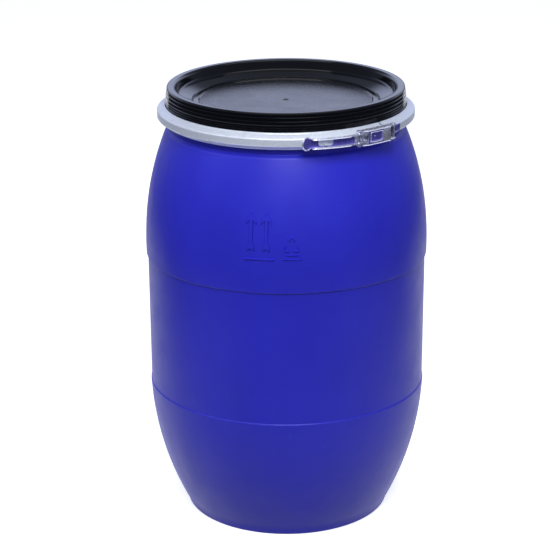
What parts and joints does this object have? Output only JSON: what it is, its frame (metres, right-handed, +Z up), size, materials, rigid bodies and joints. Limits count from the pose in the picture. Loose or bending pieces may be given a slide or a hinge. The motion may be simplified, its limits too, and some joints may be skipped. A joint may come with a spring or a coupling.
{
  "type": "plastic open head drum",
  "caption": "Barrel-shaped plastic drum with a wide mouth, a dished lid and a steel clamp band closed by an over-centre lever latch.",
  "frame": {"origin": "on the drum axis at the floor, centre of the bounding box's bottom face", "axes": "+Z up along the drum axis, front -Y, +X to the viewer's right; the latch is at the front right"},
  "size_m": [0.501, 0.501, 0.7796],
  "materials": {
    "drum_plastic": "blow-moulded polyethylene, soft gloss",
    "lid_plastic": "injection-moulded, gloss",
    "gasket_rubber": "matt rubber",
    "band_steel": "galvanised sheet",
    "latch_steel": "bright zinc plate",
    "pin_steel": "zinc-plated"
  },
  "bodies": {
    "drum": {"drum_body": "drum_plastic"},
    "lid": {"lid": "lid_plastic", "lid_gasket": "gasket_rubber"},
    "ring_left": {"clamp_band": "band_steel", "fulcrum_bracket": "latch_steel", "seal_lug": "band_steel", "fulcrum_pin": "pin_steel"},
    "ring_right": {"keeper_bracket": "latch_steel"},
    "lever": {"latch_lever": "latch_steel", "link_pin": "pin_steel"},
    "link": {"draw_link": "latch_steel", "hook_bar": "pin_steel"}
  },
  "joints": [
    {"name": "lid_lift", "type": "slide", "parent": "drum", "child": "lid", "axis": [0, 0, 1], "range_m": [0, 0.2]},
    {"name": "ring_lift", "type": "slide", "parent": "lid", "child": "ring_left", "axis": [0, 0, 1], "range_m": [0, 0.12]},
    {"name": "ring_spread", "type": "hinge", "parent": "ring_left", "child": "ring_right", "pos_m": [-0.16565, 0.15286, 0.7335], "axis": [0, 0, 1], "range_deg": [0, 1.11], "deforming": ["clamp_band"]},
    {"name": "lever_swing", "type": "hinge", "parent": "ring_left", "child": "lever", "pos_m": [0.13227, -0.1889, 0.7335], "axis": [0, 0, 1], "range_deg": [0, 120]},
    {"name": "link_swing", "type": "hinge", "parent": "lever", "child": "link", "pos_m": [0.12133, -0.19496, 0.7335], "axis": [0, 0, 1], "range_deg": [-109.9, 0]}
  ],
  "couplings": [
    {"joint": "ring_spread", "follows": "lever_swing", "ratio": 0.0091667},
    {"joint": "link_swing", "follows": "lever_swing", "ratio": -0.915}
  ]
}
